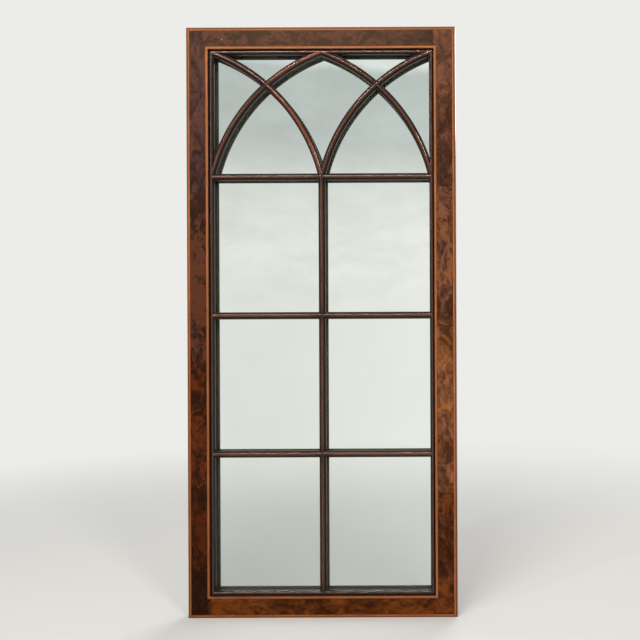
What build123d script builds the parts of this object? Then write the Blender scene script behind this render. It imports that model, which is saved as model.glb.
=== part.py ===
"""Window mirror: a veneered frame with arched glazing bars over one mirror plate.

The mirror stands upright. X runs to the right as seen from the front, Y runs to the back and Z up.
The origin is the middle of the frame's underside. All sizes are in millimetres.
"""
from build123d import *
from math import acos, atan2, ceil, cos, degrees, radians, sin
import os

os.makedirs("parts", exist_ok=True)

# Frame as a whole
frame_w = 436.0
frame_h = 958.0
frame_t = 24.0
back_chamfer = 1.0

# Face of the frame, from the outer arris inwards
string_out_w = 5.2
burl_w = 25.4
string_in_w = 4.4
string_t = 2.0
burl_t = 1.0
arris_r = 0.7

# Burl leaves: lengths up each stile from its foot, and along each rail from its left end.
# The last leaf of each row takes what is left.
leaves_left = (187.0, 226.0, 276.0)
leaves_right = (201.0, 272.0, 227.0)
leaves_top = (290.0,)
leaves_bottom = ()

# Glazing rebate, with the lip that the ribs are let into
lip_w = 4.0
rebate_w = 10.0
glass_t = 3.0
board_t = 2.0
glass_gap = 1.0

# Mortise and tenon joints
tenon_t = 5.6
tenon_len = 24.0
tenon_shoulder = 6.0
mortise_gap = 1.0

# Edge moulding and glazing bars
edge_w = 7.8
edge_flat_w = 0.5
bar_w = 11.0
bar_flat_w = 1.5
bar_t = 5.2
fillet_t = 1.9
bar_set_back = 1.8
rib_w = 4.0
rib_d = 9.5
rib_housing = 2.5

# Layout of the bars
row_count = 3
row_names = ("low", "mid", "spring")
arch_rise = 202.9
spring_lean = 13.0

# Glazier's points
point_len = 14.0
point_w = 6.0
point_t = 0.6
points_up_side = 5
points_along_rail = 2

# Strap hangers, rings and screws
hanger_drop = 240.0
strap_w = 12.0
strap_t = 1.2
strap_len = 32.0
wire_r = 1.25
eye_gap = 0.08
eye_lift = 0.4
ring_in_w = 16.0
ring_leg = 6.0
ring_corner_r = 2.5
ring_split = 0.6
screw_places = (10.0, 25.0)
screw_len = 14.0
screw_shank_r = 1.75
screw_head_r = 3.2
screw_tip_len = 3.0
screw_tip_r = 0.2
screw_slot_w = 0.9
screw_slot_d = 0.7
screw_hole_gap = 0.02

# Depths, from the front face to the back
y_face = -frame_t / 2
y_burl_back = y_face + burl_t
y_string_back = y_face + string_t
y_bar_front = y_face + bar_set_back
y_lip_front = y_bar_front + bar_t
y_glass_front = y_lip_front + rib_d
y_glass_back = y_glass_front + glass_t
y_board_back = y_glass_back + board_t
y_back = frame_t / 2

# Widths, from the outer edge inwards
band_w = string_out_w + burl_w + string_in_w
lip_edge = band_w + lip_w
rebate_wall = lip_edge - rebate_w
half_w = frame_w / 2

# Bar lines
x_edge = half_w - band_w - edge_w / 2
z_foot = band_w + edge_w / 2
z_head = frame_h - z_foot
z_spring = z_head - arch_rise
row_h = (z_spring - z_foot) / row_count
z_rows = [z_foot + row_h * (row + 1) for row in range(row_count)]

# Every arch is the same circle: it leaves its springing at spring_lean from upright and
# reaches the head one bay further on.
lean_c = cos(radians(spring_lean))
lean_s = sin(radians(spring_lean))
arch_r = (x_edge**2 + arch_rise**2) / (2 * (x_edge * lean_c - arch_rise * lean_s))
arch_z = z_spring - arch_r * lean_s

FAR = 3 * (frame_w + frame_h)
BACK = (0, 1, 0)
FAN_STEP = 60
SAME = 0.001


def block(x0, x1, y0, y1, z0, z1):
    """A box between two corners."""
    middle = Pos((x0 + x1) / 2, (y0 + y1) / 2, (z0 + z1) / 2)
    return middle * Box(x1 - x0, y1 - y0, z1 - z0)


def plate(points, y0, y1):
    """A flat piece with an outline in X and Z, from depth y0 to depth y1."""
    outline = Polyline(*[(x, y0, z) for x, z in points], close=True)
    return extrude(make_face(outline), amount=y1 - y0, dir=BACK)


def save(name, shape):
    export_step(shape, f"parts/{name}.step")


def mirrored(shape):
    return mirror(shape, about=Plane.YZ)


def frame_strips(near, width, y0, y1):
    """Four mitred strips round the frame, from near to near + width in from its outer edge."""
    far = near + width
    left = [(-half_w + near, near), (-half_w + far, far)]
    left += [(-half_w + far, frame_h - far), (-half_w + near, frame_h - near)]
    foot = [(-half_w + near, near), (half_w - near, near), (half_w - far, far), (-half_w + far, far)]
    strips = {"left": plate(left, y0, y1), "bottom": plate(foot, y0, y1)}
    strips["right"] = mirrored(strips["left"])
    strips["top"] = mirror(strips["bottom"], about=Plane.XY.offset(frame_h / 2))
    return strips


def ease_arris(side, strip):
    """Rounds the front arris of one outer strip."""
    front = strip.faces().sort_by(Axis.Y)[0].edges()
    chosen = {
        "left": front.sort_by(Axis.X)[0],
        "right": front.sort_by(Axis.X)[-1],
        "bottom": front.sort_by(Axis.Z)[0],
        "top": front.sort_by(Axis.Z)[-1],
    }
    return fillet(chosen[side], arris_r)


# Bar lattice


def across(point, heading):
    """The section plane at a point of a bar line, whose local Y faces the front."""
    dx, dz = cos(radians(heading)), sin(radians(heading))
    return Plane(origin=(point[0], y_lip_front, point[1]), x_dir=(-dz, 0, dx), z_dir=(dx, 0, dz))


def bead_section(width, flat_w):
    """An astragal: a round bead with a flat of width flat_w on each side."""
    side, bead = width / 2, width / 2 - flat_w
    base = [(bead, fillet_t), (side, fillet_t), (side, 0), (-side, 0), (-side, fillet_t)]
    top = ThreePointArc((-bead, fillet_t), (0, bar_t), (bead, fillet_t))
    return make_face(Polyline(*base, (-bead, fillet_t)) + top)


def rib_section():
    return Pos(0, -rib_d / 2) * Rectangle(rib_w, rib_d)


class Straight:
    """A bar line from one point to another."""

    def __init__(self, start, end):
        self.ends = (start, end)
        turn = degrees(atan2(end[1] - start[1], end[0] - start[0]))
        self.headings = (turn, turn + 180)

    def sweep(self, section, over):
        start, end = self.ends
        length = ((end[0] - start[0]) ** 2 + (end[1] - start[1]) ** 2) ** 0.5
        dx, dz = (end[0] - start[0]) / length, (end[1] - start[1]) / length
        first = (start[0] - over * dx, start[1] - over * dz)
        return extrude(across(first, self.headings[0]) * section, amount=length + 2 * over)


class Arc:
    """A bar line along a circle, anticlockwise as seen from the front."""

    def __init__(self, centre_x, low, high):
        self.centre_x = centre_x
        self.angles = (low, high)
        self.ends = (self.point(low), self.point(high))
        self.headings = (low + 90, high - 90)

    def point(self, angle):
        turn = radians(angle)
        return (self.centre_x + arch_r * cos(turn), arch_z + arch_r * sin(turn))

    def sweep(self, section, over):
        low, high = self.angles
        spare = degrees(over / arch_r)
        first = across(self.point(low - spare), low - spare + 90)
        axis = Axis((self.centre_x, 0, arch_z), (0, -1, 0))
        return revolve(first * section, axis, high - low + 2 * spare)


def arch_angle(reach):
    """The circle's angle where an arch that leans right is reach from its springing."""
    return degrees(acos((reach - arch_r * lean_c) / arch_r))


def arch_lines(spring_x, lean):
    """The whole arch, its part below the crossing and its part above. lean is 1 right, -1 left."""
    stops = [arch_angle(0), arch_angle(x_edge / 2), arch_angle(x_edge)]
    if lean < 0:
        stops = [180 - stop for stop in stops]
    centre_x = spring_x + lean * arch_r * lean_c
    pairs = ((0, 2), (0, 1), (1, 2))
    return [Arc(centre_x, *sorted((stops[a], stops[b]))) for a, b in pairs]


arches = {
    "outer_left": arch_lines(-x_edge, 1),
    "inner_left": arch_lines(0, -1),
    "inner_right": arch_lines(0, 1),
    "outer_right": arch_lines(x_edge, -1),
}

edge_lines = {
    "left": Straight((-x_edge, z_foot), (-x_edge, z_head)),
    "right": Straight((x_edge, z_foot), (x_edge, z_head)),
    "bottom": Straight((-x_edge, z_foot), (x_edge, z_foot)),
    "top": Straight((-x_edge, z_head), (x_edge, z_head)),
}

bar_lines = {}
for row, (name, z) in enumerate(zip(row_names, z_rows)):
    below = z - row_h
    bar_lines[f"upright_{name}"] = Straight((0, below), (0, z))
    bar_lines[f"{name}_left"] = Straight((-x_edge, z), (0, z))
    bar_lines[f"{name}_right"] = Straight((0, z), (x_edge, z))
for name, (whole, lower, upper) in arches.items():
    bar_lines[f"arch_{name}_lower"] = lower
    bar_lines[f"arch_{name}_upper"] = upper


def spot(point):
    """A meeting point of bars, rounded so that lines that meet there agree on it."""
    return (round(point[0], 3), round(point[1], 3))


def lies_on(point, line):
    """Whether a meeting point is inside an edge line, away from its ends."""
    (x0, z0), (x1, z1) = line.ends
    inside_x = min(x0, x1) - SAME <= point[0] <= max(x0, x1) + SAME
    inside_z = min(z0, z1) - SAME <= point[1] <= max(z0, z1) + SAME
    return inside_x and inside_z and point not in (spot(line.ends[0]), spot(line.ends[1]))


# The arms at each meeting point: (heading, name of the piece)
meetings = {}
for name, line in {**bar_lines, **{f"edge_{side}": line for side, line in edge_lines.items()}}.items():
    for end, heading in zip(line.ends, line.headings):
        meetings.setdefault(spot(end), []).append((heading % 360, name))
for point, arms in meetings.items():
    for side, line in edge_lines.items():
        if lies_on(point, line):
            arms += [(heading % 360, f"edge_{side}") for heading in line.headings]
    arms.sort()


def half_width(name):
    return (edge_w if name.startswith("edge_") else bar_w) / 2


def mitre_turn(turn, own, other):
    """How far the mitre turns from an arm of half width own, when the next arm is turn away.

    It runs from the meeting point to where the sides that face each other cross.
    """
    if own == other:
        return turn / 2
    angle = radians(turn)
    return degrees(atan2(own, (other + own * cos(angle)) / sin(angle)))


def sector(point, name, heading):
    """The space that one arm owns at a meeting point: out to the mitre with each neighbour."""
    arms = meetings[point]
    heading %= 360
    place = arms.index((heading, name))
    before, name_before = arms[place - 1]
    after, name_after = arms[(place + 1) % len(arms)]
    own = half_width(name)
    low = heading - mitre_turn((heading - before) % 360, own, half_width(name_before))
    high = heading + mitre_turn((after - heading) % 360, own, half_width(name_after))
    steps = ceil((high - low) / FAN_STEP)
    fan = [radians(low + (high - low) * step / steps) for step in range(steps + 1)]
    corners = [(point[0] + FAR * cos(turn), point[1] + FAR * sin(turn)) for turn in fan]
    return plate([point, *corners], y_face, y_glass_front)


def mitred(name, line, section):
    """One moulding, mitred against its neighbours at both ends."""
    piece = line.sweep(section, bar_w)
    for end, heading in zip(line.ends, line.headings):
        piece = piece & sector(spot(end), name, heading)
    return piece


def astragals():
    section = bead_section(bar_w, bar_flat_w)
    return {name: mitred(name, line, section) for name, line in bar_lines.items()}


def edge_mouldings():
    """The moulding round the sight edge, notched to a point where each bar comes in."""
    section = bead_section(edge_w, edge_flat_w)
    pieces = {}
    for side, line in edge_lines.items():
        piece = mitred(f"edge_{side}", line, section)
        for point, arms in meetings.items():
            if lies_on(point, line):
                for heading, name in arms:
                    if name != f"edge_{side}":
                        piece = piece - sector(point, name, heading)
        pieces[side] = piece
    return pieces


def halve(first, second):
    """Lets two crossing ribs into each other: the first keeps its front half, the second its back."""
    y_mid = (y_lip_front + y_glass_front) / 2
    front = block(-half_w, half_w, y_lip_front, y_mid, 0, frame_h)
    rear = block(-half_w, half_w, y_mid, y_glass_front, 0, frame_h)
    return first - (second & rear), second - (first & front)


def ribs():
    """The thin ribs behind the astragals, let into the frame's lip and halved where they cross."""
    x_lip = half_w - lip_edge
    x_house, z_house = x_lip + rib_housing, lip_edge - rib_housing
    z_under, z_over = z_spring - rib_w / 2, z_spring + rib_w / 2
    y0, y1 = y_lip_front, y_glass_front
    upright = block(-rib_w / 2, rib_w / 2, y0, y1, z_house, z_under)
    pieces = {}
    for name, z in zip(row_names, z_rows):
        rib = block(-x_house, x_house, y0, y1, z - rib_w / 2, z + rib_w / 2)
        if name != "spring":
            upright, rib = halve(upright, rib)
        pieces[name] = rib
    pieces["upright"] = upright
    for side, x0, x1 in (("left", -x_lip, 0), ("right", 0, x_lip)):
        bay = block(x0, x1, y0, y1, z_over, frame_h - lip_edge)
        outer = arches[f"outer_{side}"][0].sweep(rib_section(), bar_w) & bay
        inner = arches[f"inner_{side}"][0].sweep(rib_section(), bar_w) & bay
        pieces[f"arch_outer_{side}"], pieces[f"arch_inner_{side}"] = halve(outer, inner)
    return pieces


# Frame


def burl_leaves():
    """The veneer leaves: the stile leaves run through and the rail leaves butt between them."""
    strings = [*string_out.values(), *string_in.values()]
    fields = {
        "left": (-half_w, -half_w + band_w, 0, frame_h, leaves_left),
        "right": (half_w - band_w, half_w, 0, frame_h, leaves_right),
        "bottom": (-half_w + band_w, half_w - band_w, 0, band_w, leaves_bottom),
        "top": (-half_w + band_w, half_w - band_w, frame_h - band_w, frame_h, leaves_top),
    }
    leaves = {}
    for side, (x0, x1, z0, z1, lengths) in fields.items():
        upright = side in ("left", "right")
        start = z0 if upright else x0
        stops = [start + sum(lengths[:count]) for count in range(len(lengths) + 1)]
        stops.append(z1 if upright else x1)
        for count, (low, high) in enumerate(zip(stops, stops[1:]), start=1):
            span = (x0, x1, y_face, y_burl_back, low, high) if upright else (
                low, high, y_face, y_burl_back, z0, z1)
            leaves[f"{side}_{count}"] = block(*span) - strings
    return leaves


def tenon_span(extra):
    """X and Y of the right-hand tenon, or of its mortise, which is extra longer."""
    y_mid = (y_lip_front + y_glass_front) / 2
    x_end = half_w - lip_edge + tenon_len + extra
    return (half_w - lip_edge, x_end, y_mid - tenon_t / 2, y_mid + tenon_t / 2)


def stile_right():
    x_out = half_w
    core = block(x_out - band_w, x_out, y_burl_back, y_lip_front, 0, frame_h)
    core += block(x_out - lip_edge, x_out, y_lip_front, y_glass_front, 0, frame_h)
    core += block(x_out - rebate_wall, x_out, y_glass_front, y_back, 0, frame_h)
    for z0 in (tenon_shoulder, frame_h - band_w):
        core -= block(*tenon_span(mortise_gap), z0, z0 + band_w - tenon_shoulder)
    rear = core.faces().sort_by(Axis.Y)[-1].edges()
    outer = rear.sort_by(Axis.X)[-1]
    ends = [rear.sort_by(Axis.Z)[0], rear.sort_by(Axis.Z)[-1]]
    return chamfer([outer, *ends], back_chamfer)


def rail_bottom():
    """The rail's ends step round the stile's section, with a tenon in the middle zone."""
    rail = block(-half_w + band_w, half_w - band_w, y_burl_back, y_lip_front, 0, band_w)
    rail += block(-half_w + lip_edge, half_w - lip_edge, y_lip_front, y_glass_front, 0, lip_edge)
    x_back = half_w - rebate_wall
    rail += block(-x_back, x_back, y_glass_front, y_back, 0, rebate_wall)
    tenon = block(*tenon_span(0), tenon_shoulder, band_w)
    rail += [tenon, mirrored(tenon)]
    rear = rail.faces().sort_by(Axis.Y)[-1].edges()
    return chamfer(rear.sort_by(Axis.Z)[0], back_chamfer)


def glazier_points():
    """Flat steel points pushed half their length into the rebate wall, over the backboard."""
    x_wall = half_w - rebate_wall
    z_wall = frame_h - rebate_wall
    y0, y1 = y_board_back, y_board_back + point_t
    places = []
    clear_h = frame_h - 2 * rebate_wall
    for count in range(points_up_side):
        z = rebate_wall + clear_h * (count + 0.5) / points_up_side
        for x in (-x_wall, x_wall):
            places.append((x, z, point_len, point_w))
    for count in range(points_along_rail):
        x = -x_wall + 2 * x_wall * (count + 0.5) / points_along_rail
        for z in (rebate_wall, z_wall):
            places.append((x, z, point_w, point_len))
    return [block(x - w / 2, x + w / 2, y0, y1, z - h / 2, z + h / 2) for x, z, w, h in places]


# Hangers

eye_r = wire_r + eye_gap + strap_t
y_pin = y_back + eye_lift + eye_r
hanger_x = half_w - rebate_wall / 2
hanger_z = frame_h - hanger_drop


def rod(radius, length, y, z):
    """A cylinder along X at the right-hand hanger."""
    return Pos(hanger_x, y, z) * Rot(0, 90, 0) * Cylinder(radius, length)


def sunk(solid, depth, y_top, z):
    """Turns a solid of that depth to lie along Y at the right-hand hanger, with its top at y_top."""
    return Pos(hanger_x, y_top - depth / 2, z) * Rot(-90, 0, 0) * solid


def hanger_screw(z):
    """A countersunk wood screw with its head flush with the strap."""
    y_top = y_back + strap_t
    head_d = screw_head_r - screw_shank_r
    shank_d = screw_len - head_d - screw_tip_len
    y_shank = y_top - head_d
    y_tip = y_shank - shank_d
    screw = sunk(Cone(screw_shank_r, screw_head_r, head_d), head_d, y_top, z)
    screw += sunk(Cylinder(screw_shank_r, shank_d), shank_d, y_shank, z)
    screw += sunk(Cone(screw_tip_r, screw_shank_r, screw_tip_len), screw_tip_len, y_tip, z)
    slot = (hanger_x - screw_head_r, hanger_x + screw_head_r, y_top - screw_slot_d, y_top)
    return screw - block(*slot, z - screw_slot_w / 2, z + screw_slot_w / 2)


def strap_right():
    """A strap rolled into an eye at its upper end, with two countersunk holes."""
    z_end = hanger_z - strap_len + strap_w / 2
    x0, x1 = hanger_x - strap_w / 2, hanger_x + strap_w / 2
    strap = block(x0, x1, y_back, y_back + strap_t, z_end, hanger_z)
    tail = Pos(hanger_x, y_back + strap_t / 2, z_end) * Rot(90, 0, 0) * Cylinder(strap_w / 2, strap_t)
    strap += [tail, rod(eye_r, strap_w, y_pin, hanger_z)]
    strap -= rod(wire_r + eye_gap, strap_w, y_pin, hanger_z)
    top_r = screw_head_r + screw_hole_gap
    for drop in screw_places:
        hole = Cone(top_r - strap_t, top_r, strap_t)
        strap -= sunk(hole, strap_t, y_back + strap_t, hanger_z - drop)
    return strap


def ring_right():
    """A D-shaped ring of round wire, whose ends meet inside the eye."""
    half = ring_in_w / 2 + wire_r
    bend = ring_corner_r
    lean = bend * (1 - cos(radians(45)))

    def at(x, z):
        return (hanger_x + x, y_pin, hanger_z + z)

    path = [
        Line(at(ring_split / 2, 0), at(half - bend, 0)),
        ThreePointArc(at(half - bend, 0), at(half - lean, -lean), at(half, -bend)),
        Line(at(half, -bend), at(half, -ring_leg)),
        ThreePointArc(at(half, -ring_leg), at(0, -ring_leg - half), at(-half, -ring_leg)),
        Line(at(-half, -ring_leg), at(-half, -bend)),
        ThreePointArc(at(-half, -bend), at(lean - half, -lean), at(bend - half, 0)),
        Line(at(bend - half, 0), at(-ring_split / 2, 0)),
    ]
    start = Plane(origin=at(ring_split / 2, 0), z_dir=(1, 0, 0))
    return sweep(start * Circle(wire_r), path=Wire(path))


# Build the pieces

string_out = frame_strips(0, string_out_w, y_face, y_string_back)
string_in = frame_strips(string_out_w + burl_w, string_in_w, y_face, y_string_back)

rib_pieces = ribs()
points = glazier_points()
screws_right = [hanger_screw(hanger_z - drop) for drop in screw_places]
screws = [*screws_right, *[mirrored(screw) for screw in screws_right]]

inlay = [*string_out.values(), *string_in.values()]
let_in = [*inlay, *rib_pieces.values(), *points, *screws]
stile = stile_right()
rail = rail_bottom()
save("stile_right", stile - let_in)
save("stile_left", mirrored(stile) - let_in)
save("rail_bottom", rail - let_in)
save("rail_top", mirror(rail, about=Plane.XY.offset(frame_h / 2)) - let_in)

for name, leaf in burl_leaves().items():
    save(f"burl_veneer_{name}", leaf)
for side, strip in string_out.items():
    save(f"outer_stringing_{side}", ease_arris(side, strip))
for side, strip in string_in.items():
    save(f"inner_stringing_{side}", strip)
for side, moulding in edge_mouldings().items():
    save(f"edge_moulding_{side}", moulding)
for name, astragal in astragals().items():
    save(f"astragal_{name}", astragal)
for name, rib in rib_pieces.items():
    save(f"rib_{name}", rib)

x_glass = half_w - rebate_wall - glass_gap
z_glass = rebate_wall + glass_gap
save("mirror_plate", block(-x_glass, x_glass, y_glass_front, y_glass_back, z_glass, frame_h - z_glass))
save("backboard", block(-x_glass, x_glass, y_glass_back, y_board_back, z_glass, frame_h - z_glass))
save("glazier_points", Compound(points))

strap = strap_right()
ring = ring_right()
save("hanger_strap_right", strap)
save("hanger_strap_left", mirrored(strap))
save("hanger_ring_right", ring)
save("hanger_ring_left", mirrored(ring))
save("hanger_screws", Compound(screws))
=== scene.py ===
"""Looks of the window mirror: its woods, mirror plate, backing, hangers and studio.

All sizes are in metres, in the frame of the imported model: X to the right, Y to the back, Z up.
"""
from math import cos, pi, radians, sin

import bpy
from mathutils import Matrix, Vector

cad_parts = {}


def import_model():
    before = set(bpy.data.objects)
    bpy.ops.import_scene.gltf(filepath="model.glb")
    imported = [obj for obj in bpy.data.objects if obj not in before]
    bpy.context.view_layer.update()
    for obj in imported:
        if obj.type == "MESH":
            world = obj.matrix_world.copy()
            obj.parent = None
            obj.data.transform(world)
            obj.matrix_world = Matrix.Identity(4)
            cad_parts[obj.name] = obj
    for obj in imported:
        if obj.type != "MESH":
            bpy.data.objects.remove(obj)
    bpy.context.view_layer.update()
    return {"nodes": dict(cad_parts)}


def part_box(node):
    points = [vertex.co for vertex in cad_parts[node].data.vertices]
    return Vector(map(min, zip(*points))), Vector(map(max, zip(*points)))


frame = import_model()
nodes = frame["nodes"]

MM = 0.001
# How far in from the outer edges the stiles and rails count as inside
SKIN = 2.0 * MM


# Places taken from the model

stile_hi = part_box("stile_right")[1]
plate_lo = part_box("mirror_plate")[0]
outer_lo, outer_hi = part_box("outer_stringing_left")
inner_lo, inner_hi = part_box("inner_stringing_left")
edge_lo, edge_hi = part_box("edge_moulding_left")
cross_lo, cross_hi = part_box("astragal_spring_left")

HALF_W = -outer_lo.x
HEIGHT = outer_hi.z
Y_FACE = outer_lo.y
Y_BACK = stile_hi.y
Y_CROWN = cross_lo.y
Y_SEAT = cross_hi.y
Y_MIRROR = plate_lo.y
SIGHT_X = -inner_hi.x
SIGHT_Z = SIGHT_X - HALF_W + HEIGHT
BAND = HALF_W - SIGHT_X
EDGE_W = edge_hi.x - edge_lo.x


# Colour


def srgb(red, green, blue):
    """A colour given as it looks on screen, 0 to 255, as the linear colour that shaders take."""
    scaled = [part / 255 for part in (red, green, blue)]
    return (*[part / 12.92 if part < 0.04 else ((part + 0.055) / 1.055) ** 2.4 for part in scaled], 1.0)


def toned(colour, *scale):
    """A colour with each part multiplied, or all parts by one number."""
    factors = scale * 3 if len(scale) == 1 else scale
    return (*[part * factor for part, factor in zip(colour, factors)], 1.0)


GLUE = srgb(40, 19, 10)
# Old shellac colours what it reflects, more over burl than over mahogany
POLISH = (1.0, 0.6, 0.36, 1.0)
THIN_POLISH = (1.0, 0.78, 0.69, 1.0)
# Bare wood on the backs of the mouldings, which only the mirror shows
RAW = srgb(112, 106, 94)
# Painted shade, nearly black in the quirks of the mouldings, and grey-green on the lip and ribs between
# them and the mirror, for their shade and the light the mirror throws on them
QUIRK_SHADE = srgb(24, 13, 9)
LIP_SHADE = srgb(56, 58, 54)


# Shader graph helpers


class Graph:
    """Builds the nodes of one material, or of the world, where place is the direction looked in."""

    def __init__(self, name, world=False):
        self.owner = (bpy.data.worlds if world else bpy.data.materials).new(name)
        self.owner.use_nodes = True
        self.tree = self.owner.node_tree
        self.tree.nodes.clear()
        self.place = self.add("ShaderNodeTexCoord").outputs["Generated" if world else "Object"]
        self.x, self.y, self.z = self.add("ShaderNodeSeparateXYZ", {0: self.place}).outputs

    def add(self, kind, inputs=None, **settings):
        node = self.tree.nodes.new(kind)
        for key, value in settings.items():
            setattr(node, key, value)
        for key, value in (inputs or {}).items():
            self.feed(node.inputs[key], value)
        return node

    def feed(self, socket, value):
        if isinstance(value, bpy.types.NodeSocket):
            self.tree.links.new(value, socket)
        else:
            socket.default_value = value

    def math(self, operation, first, second=0.0):
        return self.add("ShaderNodeMath", {0: first, 1: second}, operation=operation).outputs[0]

    def vector(self, operation, first, second):
        return self.add("ShaderNodeVectorMath", {0: first, 1: second}, operation=operation).outputs[0]

    def distance(self, first, second):
        node = self.add("ShaderNodeVectorMath", {0: first, 1: second}, operation="DISTANCE")
        return node.outputs["Value"]

    def smooth(self, value, low, high, to_low=0.0, to_high=1.0):
        """Value eased from to_low at low to to_high at high."""
        inputs = {"Value": value, "From Min": low, "From Max": high, "To Min": to_low, "To Max": to_high}
        return self.add("ShaderNodeMapRange", inputs, interpolation_type="SMOOTHSTEP").outputs[0]

    def mix(self, factor, first, second, blend="MIX"):
        node = self.add("ShaderNodeMix", data_type="RGBA", blend_type=blend)
        for index, value in ((0, factor), (6, first), (7, second)):
            self.feed(node.inputs[index], value)
        return node.outputs[2]

    def stain(self, mask, amount, base, colour):
        """The base with a share of another colour laid over it where the mask is 1."""
        return self.mix(self.math("MULTIPLY", mask, amount), base, colour)

    def ramp(self, factor, *stops):
        node = self.add("ShaderNodeValToRGB", {0: factor})
        line = node.color_ramp.elements
        while len(line) < len(stops):
            line.new(1.0)
        for element, (position, colour) in zip(line, stops):
            element.position = position
            element.color = colour
        return node.outputs[0]

    def combine(self, x, y, z):
        return self.add("ShaderNodeCombineXYZ", {0: x, 1: y, 2: z}).outputs[0]

    def mapped(self, vector, scale, shift=(0, 0, 0)):
        inputs = {0: vector, "Scale": scale, "Location": shift}
        return self.add("ShaderNodeMapping", inputs).outputs[0]

    def noise(self, vector, scale, detail=3.0, roughness=0.55, distortion=0.0):
        inputs = {"Vector": vector, "Scale": scale, "Detail": detail}
        inputs.update({"Roughness": roughness, "Distortion": distortion})
        return self.add("ShaderNodeTexNoise", inputs).outputs["Fac"]

    def warped(self, vector, scale, amount):
        """A vector pushed about by noise, by up to about half of amount each way."""
        noise = self.add("ShaderNodeTexNoise", {"Vector": vector, "Scale": scale, "Detail": 2.0})
        centred = self.vector("SUBTRACT", noise.outputs["Color"], (0.5, 0.5, 0.5))
        return self.vector("ADD", vector, self.vector("MULTIPLY", centred, (amount, amount, amount)))

    def cells(self, vector, scale):
        """Distance to the middle of the nearest cell, and that cell's colour."""
        node = self.add("ShaderNodeTexVoronoi", {"Vector": vector, "Scale": scale})
        return node.outputs["Distance"], node.outputs["Color"]

    def bump(self, height, strength, distance):
        inputs = {"Height": height, "Strength": strength, "Distance": distance}
        return self.add("ShaderNodeBump", inputs).outputs[0]

    def finish(self, **sockets):
        """Adds the main shader. Each argument names one of its sockets, with _ for a space."""
        shader = self.add("ShaderNodeBsdfPrincipled")
        for name, value in sockets.items():
            self.feed(shader.inputs[name.replace("_", " ")], value)
        self.output(shader.outputs[0])
        return self.owner

    def output(self, shader):
        self.add("ShaderNodeOutputMaterial", {0: shader})


def dress(material, *names):
    """Gives CAD nodes their material."""
    for name in names:
        nodes[name].data.materials.clear()
        nodes[name].data.materials.append(material)


# Woods

# Factors for the two hues that every burl leaf wanders between
PURPLER = (0.94, 0.97, 1.26, 1.0)
YELLOWER = (1.05, 1.02, 0.8, 1.0)
# Width of the dark line at each end of a leaf
RAIL_JOINT = 2.2 * MM
STILE_JOINT = 1.3 * MM
# Where the glue lines of the stringing start and end, in from its sides
GLUE_IN = 1.0 * MM
GLUE_OUT = 0.2 * MM
# How far in from the outer arris painted shade darkens the stringing, and how much farther at the top
ARRIS_SHADE_START = 2.6 * MM
ARRIS_DARK = 1.6 * MM
ARRIS_MORE = 1.3 * MM
# Depths below the crown of a moulding: the end of the painted highlight on the top, and the top and foot
# of the painted shade in the quirk
CROWN_LIGHT_END = 1.0 * MM
QUIRK_TOP = 2.4 * MM
QUIRK_FOOT = 3.1 * MM
# Distance from a crossing at which the painted shade on the crown is darkest, and at which the crown's
# painted highlight is as elsewhere
CROSSING_DARK = 4.0 * MM
CROSSING_FULL_LIGHT = 26.0 * MM
# How far the dry back wood reaches up the edges of the stiles and rails
DRY_FULL = 0.4 * MM
DRY_START = 1.6 * MM


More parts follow.
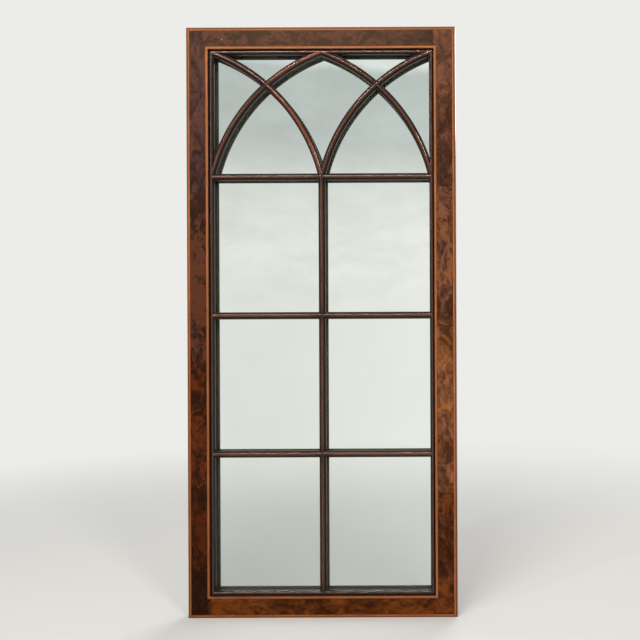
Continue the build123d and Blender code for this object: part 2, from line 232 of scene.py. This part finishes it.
def burl(leaf, colour, contrast, seed, marks=()):
    """Burl walnut: clouded figure with curling growth lines, dark eyes and pores, under old polish."""
    g = Graph("burl_" + leaf)
    lo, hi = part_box("burl_veneer_" + leaf)
    axis = 2 if hi.z - lo.z > hi.x - lo.x else 0
    stretch = [1.0, 1.0, 1.0]
    stretch[axis] = 0.62
    start = g.mapped(g.place, stretch, seed)
    swirl = g.warped(start, 30.0, 0.03)
    clouds = g.noise(swirl, 70.0, 8.0, 0.66, 0.7)
    broad = g.noise(start, 15.0, 2.0)
    curls = g.math("SINE", g.math("MULTIPLY", g.noise(g.warped(start, 55.0, 0.012), 34.0, 1.0), 62.0))
    fibre = g.noise(g.warped(start, 120.0, 0.01), 700.0, 3.0, 0.7, 1.2)
    parts = ((clouds, 0.62), (broad, 0.38), (curls, 0.022), (fibre, 0.2))
    tone = 0.0
    for part, weight in parts:
        tone = g.math("ADD", tone, g.math("MULTIPLY", part, weight))
    middle = 0.6
    spread = 0.13 / contrast
    dark = toned(colour, 0.34, 0.26, 0.24)
    light = toned(colour, 2.1, 1.95, 1.6)
    base = g.ramp(tone, (middle - spread, dark), (middle, colour), (middle + spread, light))
    hue = g.smooth(g.noise(g.warped(start, 40.0, 0.02), 48.0, 3.0, 0.6), 0.36, 0.64)
    base = g.mix(1.0, base, g.mix(hue, PURPLER, YELLOWER), "MULTIPLY")
    reach, tint = g.cells(swirl, 120.0)
    chosen = g.math("GREATER_THAN", g.add("ShaderNodeSeparateColor", {0: tint}).outputs[0], 0.6)
    eye = g.math("MULTIPLY", g.smooth(reach, 0.3, 0.08), chosen)
    base = g.stain(eye, 0.6, base, toned(colour, 0.22, 0.15, 0.13))
    pores = g.smooth(g.noise(g.mapped(start, (1.0, 1.0, 0.5)), 1500.0, 2.0), 0.6, 0.7)
    base = g.stain(pores, 0.4, base, toned(colour, 0.2, 0.15, 0.12))
    along = (g.x, g.y, g.z)[axis]
    from_start = g.math("SUBTRACT", along, lo[axis])
    from_end = g.math("MINIMUM", from_start, g.math("SUBTRACT", hi[axis], along))
    ragged = g.math("MULTIPLY", g.math("SUBTRACT", g.noise(g.place, 700.0), 0.5), 0.8 * MM)
    width = RAIL_JOINT if axis == 0 else STILE_JOINT
    joint = g.smooth(g.math("ADD", from_end, ragged), width, width / 4)
    base = g.stain(joint, 0.85, base, GLUE)
    wavy = g.warped(g.combine(g.x, 0.0, g.z), 500.0, 0.0016)
    for x, z, radius, tint in marks:
        spot = (x * MM, 0.0, z * MM)
        mark = g.smooth(g.distance(wavy, spot), radius * MM, radius * MM / 3)
        base = g.stain(mark, 0.85, base, tint)
    rough = g.smooth(g.noise(g.place, 26.0, 3.0), 0.35, 0.7, 0.26, 0.4)
    height = g.math("ADD", g.math("MULTIPLY", clouds, 0.5), g.math("MULTIPLY", pores, -0.4))
    return g.finish(
        Base_Color=base, Roughness=rough, Specular_IOR_Level=0.22, Specular_Tint=POLISH,
        Normal=g.bump(height, 0.3, 0.0003))


def grain(g, along, seed, scale=1.0):
    """Straight grain: long fibres and short dark flecks along the given axis, 0 to 1 each."""
    stretch = [1.0, 1.0, 1.0]
    stretch[along] = 0.035
    bowed = g.mapped(g.warped(g.place, 9.0, 0.004), stretch, (seed, seed, seed))
    lines = g.noise(bowed, 900.0 * scale, 4.0, 0.6)
    fleck = g.noise(g.mapped(g.place, stretch, (seed, 2 * seed, seed)), 2600.0 * scale, 2.0)
    return lines, g.smooth(fleck, 0.6, 0.72)


def stringing(name, across, low, high, along, colour, arris=None):
    """Pale stringing between two places on an axis, with a dark glue line down each side.

    arris is the place of the frame's outer edge, where painted shade darkens the strip on its rounding.
    """
    g = Graph("stringing_" + name)
    lines, fleck = grain(g, along, 3.1 * low)
    place = g.math("ABSOLUTE", g.x) if across == 0 else g.z
    off = g.math("ABSOLUTE", g.math("SUBTRACT", place, (low + high) / 2))
    half = (high - low) / 2
    ragged = g.math("MULTIPLY", g.math("SUBTRACT", g.noise(g.place, 420.0, 2.0), 0.5), 0.9 * MM)
    glue = g.smooth(g.math("ADD", off, ragged), half - GLUE_IN, half - GLUE_OUT)
    dark = toned(colour, 0.7, 0.62, 0.55)
    base = g.ramp(lines, (0.34, dark), (0.52, colour), (0.7, toned(colour, 1.25)))
    base = g.stain(fleck, 0.35, base, toned(colour, 0.4, 0.32, 0.25))
    dirt = g.smooth(g.noise(g.place, 21.0, 4.0, 0.65), 0.45, 0.72)
    # Darker towards the foot and the left side, as well as in random patches
    foot = g.math("MULTIPLY", g.smooth(g.z, HEIGHT * 0.75, 0.0), g.smooth(g.x, 0.15, -0.22, 0.35, 1.0))
    darkening = g.math("ADD", g.math("MULTIPLY", dirt, 0.22), g.math("MULTIPLY", foot, 0.42))
    base = g.mix(darkening, base, toned(colour, 0.34, 0.22, 0.14))
    if arris is not None:
        # Painted shade along the rounded outer arris
        from_arris = g.math("ADD", g.math("ABSOLUTE", g.math("SUBTRACT", place, arris)), ragged)
        more = g.smooth(g.z, HEIGHT * 0.6, HEIGHT, 0.0, ARRIS_MORE)
        painted_light_mask = g.smooth(g.math("SUBTRACT", from_arris, more), ARRIS_SHADE_START, ARRIS_DARK)
        base = g.stain(painted_light_mask, 0.85, base, toned(colour, 0.4, 0.27, 0.2))
    base = g.stain(glue, 0.85, base, GLUE)
    return g.finish(
        Base_Color=base, Roughness=0.36, Specular_IOR_Level=0.22, Specular_Tint=POLISH,
        Normal=g.bump(lines, 0.25, 0.0002))


def moulding(name, place, crown, flank, from_crossing=None):
    """Dark polished mahogany: a painted highlight on the crown, painted shade on the flanks and, nearly
    black, in the quirks beside the bead.

    place gives grain coordinates that follow the moulding. from_crossing gives the distance to the
    nearest crossing, where painted shade darkens the crown.
    """
    g = Graph("moulding_" + name)
    lines = g.noise(place(g), 900.0, 4.0, 0.6)
    patch = g.noise(g.place, 31.0, 4.0, 0.6)
    depth = g.math("ADD", g.y, g.math("MULTIPLY", g.math("SUBTRACT", patch, 0.5), 1.0 * MM))
    # Painted highlight: the crown of the bead is paler, in patches, while the flanks keep the darker
    # painted shade
    painted_light_mask = g.smooth(depth, Y_CROWN + CROWN_LIGHT_END, Y_CROWN)
    painted_light_mask = g.math("MULTIPLY", painted_light_mask, g.smooth(patch, 0.3, 0.6, 0.45, 1.0))
    # Painted shade: near crossings the crown loses most of its painted highlight
    if from_crossing:
        kept = g.smooth(from_crossing(g), CROSSING_DARK, CROSSING_FULL_LIGHT, 0.2, 1.0)
        painted_light_mask = g.math("MULTIPLY", painted_light_mask, kept)
    body = g.ramp(lines, (0.35, toned(flank, 0.6)), (0.62, toned(flank, 1.35)))
    top = g.ramp(lines, (0.35, toned(crown, 0.72)), (0.62, toned(crown, 1.3)))
    base = g.mix(painted_light_mask, body, top)
    # Painted shade: the quirks beside the bead are made nearly black
    quirk = g.smooth(g.y, Y_CROWN + QUIRK_TOP, Y_CROWN + QUIRK_FOOT)
    base = g.stain(quirk, 0.9, base, QUIRK_SHADE)
    base = g.mix(g.smooth(g.y, Y_SEAT - 0.3 * MM, Y_SEAT - 0.1 * MM), base, RAW)
    return g.finish(
        Base_Color=base, Roughness=g.smooth(patch, 0.3, 0.7, 0.1, 0.18), Specular_IOR_Level=0.5,
        Specular_Tint=THIN_POLISH, Normal=g.bump(lines, 0.2, 0.00015))


def stretched(axis):
    """Grain coordinates drawn out along an axis."""
    scale = [1.0, 1.0, 1.0]
    scale[axis] = 0.05
    return lambda g: g.mapped(g.place, scale)


def bent(centre_x, centre_z):
    """Grain coordinates drawn out along a circle."""

    def place(g):
        dx = g.math("SUBTRACT", g.x, centre_x)
        dz = g.math("SUBTRACT", g.z, centre_z)
        radius = g.math("SQRT", g.math("ADD", g.math("MULTIPLY", dx, dx), g.math("MULTIPLY", dz, dz)))
        return g.combine(radius, g.y, g.math("MULTIPLY", g.math("ARCTAN2", dz, dx), 0.014))

    return place


def rib_wood():
    """The ribs behind the mouldings: painted grey-green for their shade and the light the mirror throws
    on them, with paler patches of dust.
    """
    g = Graph("rib_wood")
    lines = g.noise(g.mapped(g.place, (1.0, 1.0, 0.2)), 500.0, 3.0)
    dust = g.smooth(g.noise(g.place, 75.0, 4.0, 0.65), 0.35, 0.7)
    base = g.ramp(lines, (0.3, srgb(54, 57, 53)), (0.7, srgb(70, 74, 70)))
    base = g.stain(dust, 0.4, base, srgb(88, 93, 89))
    return g.finish(
        Base_Color=base, Roughness=0.5, Specular_IOR_Level=0.2, Normal=g.bump(lines, 0.2, 0.0002))


def frame_wood(name, along):
    """Stiles and rails: polished outer edges, a lip painted grey-green for its shade and the light the
    mirror throws on it, and dry, dusty wood at the back.
    """
    g = Graph("frame_" + name)
    lines, fleck = grain(g, along, 1.7, 0.6)
    stretch = (1.0, 1.0, 0.3) if along == 2 else (0.3, 1.0, 1.0)
    broad = g.noise(g.mapped(g.place, stretch), 60.0, 4.0, 0.6, 0.8)
    figure = g.math("ADD", g.math("MULTIPLY", lines, 0.6), g.math("MULTIPLY", broad, 0.4))
    polished = g.ramp(
        figure, (0.35, srgb(58, 26, 13)), (0.52, srgb(92, 46, 24)), (0.68, srgb(122, 66, 38)))
    dry = g.ramp(
        figure, (0.35, srgb(96, 68, 46)), (0.52, srgb(132, 98, 68)), (0.7, srgb(164, 128, 94)))
    edge = g.math("ADD", g.y, g.math("MULTIPLY", g.math("SUBTRACT", broad, 0.5), 2.4 * MM))
    behind = g.smooth(edge, Y_BACK - DRY_START, Y_BACK - DRY_FULL)
    base = g.mix(behind, polished, dry)
    base = g.stain(fleck, 0.5, base, srgb(40, 22, 13))
    # Painted shade and mirror light: the lip faces ahead of the mirror take the grey-green lip colour
    inside_x = g.math("LESS_THAN", g.math("ABSOLUTE", g.x), HALF_W - SKIN)
    below_top = g.math("LESS_THAN", g.z, HEIGHT - SKIN)
    inside_z = g.math("MULTIPLY", g.math("GREATER_THAN", g.z, SKIN), below_top)
    ahead = g.math("LESS_THAN", g.y, Y_MIRROR + SKIN / 10)
    lip = g.math("MULTIPLY", g.math("MULTIPLY", inside_x, inside_z), ahead)
    base = g.mix(lip, base, LIP_SHADE)
    dust = g.smooth(g.noise(g.place, 44.0, 5.0, 0.7), 0.5, 0.75)
    base = g.stain(g.math("MULTIPLY", dust, behind), 0.4, base, srgb(150, 134, 112))
    rough = g.smooth(edge, Y_BACK - DRY_START, Y_BACK - DRY_FULL, 0.34, 0.75)
    return g.finish(
        Base_Color=base, Roughness=rough, Specular_IOR_Level=0.3, Normal=g.bump(lines, 0.4, 0.0003))


def backing():
    """Thin old plywood: rotary-cut figure, flecks and a few darker stains."""
    g = Graph("backboard")
    place = g.warped(g.place, 6.0, 0.03)
    rings = g.noise(g.mapped(place, (1.0, 1.0, 0.12)), 42.0, 4.0, 0.55, 1.8)
    lines, fleck = grain(g, 2, 0.9, 0.7)
    figure = g.math("ADD", g.math("MULTIPLY", rings, 0.65), g.math("MULTIPLY", lines, 0.35))
    base = g.ramp(
        figure, (0.34, srgb(120, 86, 54)), (0.5, srgb(160, 122, 82)), (0.68, srgb(188, 152, 110)))
    base = g.stain(fleck, 0.4, base, srgb(92, 62, 38))
    stain = g.smooth(g.noise(g.place, 7.0, 5.0, 0.6), 0.52, 0.62)
    base = g.stain(stain, 0.28, base, srgb(98, 70, 46))
    return g.finish(
        Base_Color=base, Roughness=0.78, Specular_IOR_Level=0.3, Normal=g.bump(figure, 0.5, 0.0004))


# Mirror and metals


def mirror_glass():
    """Old mirror plate: a faint green cast, slow waves and specks where the silver has gone."""
    g = Graph("mirror")
    haze = g.noise(g.place, 9.0, 4.0, 0.6)
    silver = g.mix(haze, srgb(237, 240, 235), srgb(246, 248, 244))
    spots = g.smooth(g.noise(g.warped(g.place, 60.0, 0.01), 150.0, 5.0, 0.7), 0.7, 0.78)
    silver = g.stain(spots, 0.3, silver, srgb(150, 152, 146))
    waves = g.noise(g.mapped(g.place, (1.0, 1.0, 0.6)), 11.0, 2.0)
    return g.finish(
        Base_Color=silver, Metallic=1.0, Roughness=0.015, Normal=g.bump(waves, 0.12, 0.0012))


def metal(name, light, dark, rough):
    """Plain metal with tarnish in patches and fine scratches."""
    g = Graph(name)
    patch = g.noise(g.place, 260.0, 5.0, 0.65)
    base = g.ramp(patch, (0.38, dark), (0.6, light))
    scratch = g.noise(g.mapped(g.place, (0.3, 1.0, 1.0)), 2600.0, 3.0)
    gloss = g.smooth(patch, 0.3, 0.7, rough + 0.2, rough)
    return g.finish(Base_Color=base, Metallic=1.0, Roughness=gloss, Normal=g.bump(scratch, 0.12, 0.0001))


# Dress the CAD nodes

# Each leaf's middle colour and how strong its figure is
BURL = {
    "left_4": ((54, 32, 32), 1.8),
    "left_3": ((56, 29, 20), 3.6),
    "left_2": ((59, 22, 5), 2.6),
    "left_1": ((49, 15, 2), 2.3),
    "top_1": ((50, 27, 20), 3.0),
    "top_2": ((45, 25, 19), 2.1),
    "right_4": ((78, 46, 32), 1.45),
    "right_3": ((88, 54, 36), 1.7),
    "right_2": ((113, 69, 41), 1.3),
    "right_1": ((75, 36, 13), 1.7),
    "bottom_1": ((80, 38, 8), 1.35),
}
KNOT = srgb(38, 18, 12)
CHIP = srgb(206, 186, 166)
# Knots and chips in the leaves: X and Z of the middle, radius, colour
MARKS = {
    "right_4": [(203.6, 737.5, 2.3, KNOT)],
    "right_2": [(205.0, 372.0, 1.8, KNOT)],
    "left_3": [(-199.0, 612.0, 1.9, KNOT)],
    "top_1": [(-184.2, 950.8, 1.2, CHIP), (-160.3, 938.5, 1.1, CHIP)],
}
for count, (leaf, (tone, contrast)) in enumerate(BURL.items()):
    seed = (0.37 * count, 0.11 * count, 0.53 * count)
    dress(burl(leaf, srgb(*tone), contrast, seed, MARKS.get(leaf, ())), "burl_veneer_" + leaf)

OUTER = srgb(164, 100, 60)
INNER = srgb(162, 99, 60)
outer_w = outer_hi.x - outer_lo.x
inner_w = inner_hi.x - inner_lo.x
# Each ring's outer X, width, colour, and the places of its arrises at the sides, top and foot
RINGS = {
    "outer": (HALF_W, outer_w, OUTER, (HALF_W, HEIGHT, 0.0)),
    "inner": (SIGHT_X + inner_w, inner_w, INNER, (None, None, None)),
}
for ring, (far, width, tone, arrises) in RINGS.items():
    inset = HALF_W - far
    side = stringing(ring + "_side", 0, far - width, far, 2, tone, arrises[0])
    dress(side, ring + "_stringing_left", ring + "_stringing_right")
    top = stringing(ring + "_top", 2, HEIGHT - inset - width, HEIGHT - inset, 0, tone, arrises[1])
    dress(top, ring + "_stringing_top")
    foot = stringing(ring + "_foot", 2, inset, inset + width, 0, tone, arrises[2])
    dress(foot, ring + "_stringing_bottom")

# Crown colours are a painted highlight on the top of each bead, and flank colours are painted shade on
# its sides
CROWN = srgb(86, 48, 32)
FLANK = srgb(22, 9, 4)
EDGE_CROWN = srgb(64, 38, 28)
EDGE_FLANK = srgb(20, 9, 5)
# Painted warm light on some lengths of the arches: a warmer, paler crown and flank
WARM_CROWN = srgb(116, 66, 40)
WARM_FLANK = srgb(44, 20, 10)
side_wood = moulding("edge_side", stretched(2), EDGE_CROWN, EDGE_FLANK)
dress(side_wood, "edge_moulding_left", "edge_moulding_right")
rail_wood = moulding("edge_rail", stretched(0), EDGE_CROWN, EDGE_FLANK)
dress(rail_wood, "edge_moulding_top", "edge_moulding_bottom")
ROWS = ("low", "mid", "spring")
ROW_HEIGHTS = [sum(corner.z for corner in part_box(f"astragal_{row}_left")) / 2 for row in ROWS]


def from_rows(g):
    """Distance up or down to the nearest cross bar or to the foot of the frame."""
    nearest = g.math("SUBTRACT", g.z, BAND)
    for height in ROW_HEIGHTS:
        nearest = g.math("MINIMUM", nearest, g.math("ABSOLUTE", g.math("SUBTRACT", g.z, height)))
    return nearest


upright_wood = moulding("upright", stretched(2), CROWN, FLANK, from_rows)
cross_wood = moulding("cross", stretched(0), CROWN, FLANK, lambda g: g.math("ABSOLUTE", g.x))
for row in ROWS:
    dress(upright_wood, "astragal_upright_" + row)
    dress(cross_wood, f"astragal_{row}_left", f"astragal_{row}_right")

# Every arch is one circle through its springing and the head of the next bay
BAY = HALF_W - BAND - EDGE_W / 2
Z_SPRING = (cross_lo.z + cross_hi.z) / 2
RISE = SIGHT_Z - EDGE_W / 2 - Z_SPRING
LEAN = radians(13.0)
ARCH_R = (BAY**2 + RISE**2) / (2 * (BAY * cos(LEAN) - RISE * sin(LEAN)))
# Where each arch springs, which way it leans, and which of its lengths carry painted warm light, warmer
# and paler
ARCHES = {
    "outer_left": (-BAY, 1, ("upper",)),
    "inner_left": (0.0, -1, ("lower",)),
    "inner_right": (0.0, 1, ()),
    "outer_right": (BAY, -1, ()),
}
# The circles' middles lie below the springing, and two arches cross halfway along a bay
Z_MIDDLE = Z_SPRING - ARCH_R * sin(LEAN)
Z_CROSSING = Z_MIDDLE + (ARCH_R**2 - (ARCH_R * cos(LEAN) - BAY / 2) ** 2) ** 0.5


def from_crossings(g):
    """Distance to the nearest place where two arches cross or spring."""
    here = g.combine(g.math("ABSOLUTE", g.x), 0.0, g.z)
    away = g.distance(here, (BAY / 2, 0.0, Z_CROSSING))
    return g.math("MINIMUM", away, g.math("SUBTRACT", g.z, Z_SPRING))


for name, (spring, lean, warm_lit) in ARCHES.items():
    centre = bent(spring + lean * ARCH_R * cos(LEAN), Z_MIDDLE)
    for part in ("lower", "upper"):
        colours = (WARM_CROWN, WARM_FLANK) if part in warm_lit else (CROWN, FLANK)
        wood = moulding(f"arch_{name}_{part}", centre, *colours, from_crossings)
        dress(wood, f"astragal_arch_{name}_{part}")

dress(rib_wood(), *[name for name in nodes if name.startswith("rib_")])
dress(frame_wood("stile", 2), "stile_left", "stile_right")
dress(frame_wood("rail", 0), "rail_top", "rail_bottom")
dress(mirror_glass(), "mirror_plate")
dress(backing(), "backboard")
dress(metal("point_steel", srgb(168, 166, 160), srgb(96, 90, 82), 0.35), "glazier_points")
brass = metal("hanger_brass", srgb(196, 158, 92), srgb(120, 88, 48), 0.28)
dress(brass, "hanger_strap_left", "hanger_strap_right", "hanger_ring_left", "hanger_ring_right")
dress(metal("screw_brass", srgb(182, 146, 84), srgb(92, 68, 40), 0.32), "hanger_screws")


# Studio

PALE = srgb(236, 236, 233)
FLOOR_TONE = srgb(216, 215, 211)
# The floor is a little darker in the mirror, as the photographed one is, and brighter to the right
MIRRORED_FLOOR = srgb(209, 211, 211)
FLOOR_MIDDLE_X = 0.25
FLOOR_R = 9.0
FADE_NEAR = 0.7
FADE_FAR = 2.2
CLOUD_LIGHT = 0.36
SKYLIGHT = (0.94, 0.97, 1.0, 1.0)
SKYLIGHT_STRENGTH = 0.44


def background_rays(g, path):
    """1 for the rays that see the backdrop itself: from the camera, in gloss and through glass."""
    both = g.math("MAXIMUM", path["Is Camera Ray"], path["Is Glossy Ray"])
    return g.math("MAXIMUM", both, path["Is Transmission Ray"])


def room(g, side, up, clouds):
    """What the mirror shows in a direction: plaster, greyer higher up and brighter to the right."""
    lift = g.math("ADD", up, g.math("MULTIPLY", g.math("SUBTRACT", clouds, 0.5), 0.012))
    wall = g.ramp(
        g.math("MULTIPLY", lift, 2.0),
        (0.0, srgb(238, 240, 237)), (0.26, srgb(240, 241, 237)), (0.42, srgb(224, 228, 225)),
        (0.5, srgb(199, 206, 204)), (0.67, srgb(193, 201, 199)), (0.69, srgb(226, 233, 232)))
    cloud_light = g.math("MULTIPLY", clouds, CLOUD_LIGHT)
    light = g.math("ADD", cloud_light, g.smooth(side, -0.36, 0.0, 0.76, 0.87))
    light = g.math("MULTIPLY", light, g.smooth(g.math("ABSOLUTE", side), 0.42, 0.62, 1.0, 0.6))
    return g.mix(1.0, wall, g.combine(light, light, light), "MULTIPLY")


def floor():
    """A pale disc that fades into the background well away from the mirror."""
    bpy.ops.mesh.primitive_circle_add(
        vertices=96, radius=FLOOR_R, fill_type="NGON", location=(0, 0, 0))
    disc = bpy.context.object
    disc.name = "floor"
    g = Graph("floor")
    path = g.add("ShaderNodeLightPath").outputs
    away = g.add("ShaderNodeVectorMath", {0: g.place}, operation="LENGTH").outputs["Value"]
    fade = g.smooth(away, FADE_NEAR, FADE_FAR)
    aside = g.math("SUBTRACT", g.x, FLOOR_MIDDLE_X)
    side = g.math("DIVIDE", aside, g.math("ADD", g.math("ABSOLUTE", g.y), 1.0))
    plaster = room(g, side, 0.0, 0.5)
    mirrored = path["Is Glossy Ray"]
    tone = g.mix(mirrored, FLOOR_TONE, g.mix(1.0, plaster, MIRRORED_FLOOR, "MULTIPLY"))
    diffuse = g.add("ShaderNodeBsdfDiffuse", {"Color": tone}).outputs[0]
    backdrop = g.mix(mirrored, PALE, plaster)
    glow = g.add("ShaderNodeEmission", {"Color": backdrop, "Strength": 1.0}).outputs[0]
    seen = g.math("MULTIPLY", fade, background_rays(g, path))
    g.output(g.add("ShaderNodeMixShader", {0: seen, 1: diffuse, 2: glow}).outputs[0])
    disc.data.materials.append(g.owner)


def world():
    """Pale all round, apart from what the mirror shows of it."""
    g = Graph("studio", world=True)
    bpy.context.scene.world = g.owner
    path = g.add("ShaderNodeLightPath").outputs
    clouds = g.noise(g.warped(g.mapped(g.place, (1.0, 1.0, 2.2)), 6.0, 0.1), 14.0, 6.0, 0.66)
    # They thin out towards the floor, which has none
    contrast = g.smooth(g.z, 0.0, 0.1)
    clouds = g.math("ADD", g.math("MULTIPLY", g.math("SUBTRACT", clouds, 0.5), contrast), 0.5)
    shown = g.mix(path["Is Camera Ray"], room(g, g.x, g.z, clouds), PALE)
    backdrop = g.add("ShaderNodeBackground", {"Color": shown, "Strength": 1.0}).outputs[0]
    skylight = {"Color": SKYLIGHT, "Strength": SKYLIGHT_STRENGTH}
    glow = g.add("ShaderNodeBackground", skylight).outputs[0]
    shaders = {0: background_rays(g, path), 1: glow, 2: backdrop}
    mixed = g.add("ShaderNodeMixShader", shaders).outputs[0]
    g.add("ShaderNodeOutputWorld", {0: mixed})


def lamp(name, place, aim, size, power, colour=(1, 1, 1)):
    """A rectangular lamp pointed at a spot."""
    data = bpy.data.lights.new(name, "AREA")
    data.shape = "RECTANGLE"
    data.size, data.size_y = size
    data.energy = power
    data.color = colour
    light = bpy.data.objects.new(name, data)
    light.location = place
    light.rotation_euler = (Vector(aim) - Vector(place)).to_track_quat("-Z", "Y").to_euler()
    bpy.context.scene.collection.objects.link(light)


def camera():
    """The photograph's view: square on to the mirror, with the eye to the right and a little low."""
    picture_px = 640
    mm_per_px = 1.622
    picture = picture_px * mm_per_px * MM
    reach = 1.2
    sensor_mm = 36.0
    middle = Vector((-0.0028, 0.0, 0.4816))
    shift = Vector((-0.26, 0.03))
    roll = radians(0.25)
    data = bpy.data.cameras.new("camera")
    data.sensor_width = sensor_mm
    data.lens = sensor_mm * reach / picture
    data.shift_x, data.shift_y = shift
    view = bpy.data.objects.new("camera", data)
    view.location = (middle.x - shift.x * picture, Y_FACE - reach, middle.z - shift.y * picture)
    view.rotation_euler = (pi / 2, roll, 0)
    bpy.context.scene.collection.objects.link(view)
    bpy.context.scene.camera = view


floor()
world()
WARM_LIGHT = (1.0, 0.96, 0.91)
COOL_LIGHT = (0.92, 0.96, 1.0)
lamp("key", (-0.62, -2.2, 2.35), (-0.1, 0, 0.5), (1.3, 0.08), 46.0, WARM_LIGHT)
lamp("window", (-1.5, -1.7, 1.4), (0, 0, 0.6), (0.1, 1.1), 9.0, COOL_LIGHT)
lamp("second", (1.3, -1.9, 2.0), (0, 0, 0.5), (0.36, 0.24), 19.0, WARM_LIGHT)
lamp("back", (0.6, 1.9, 1.8), (0, 0, 0.5), (1.4, 1.0), 26.0)
camera()
bpy.context.scene.view_settings.view_transform = "Standard"
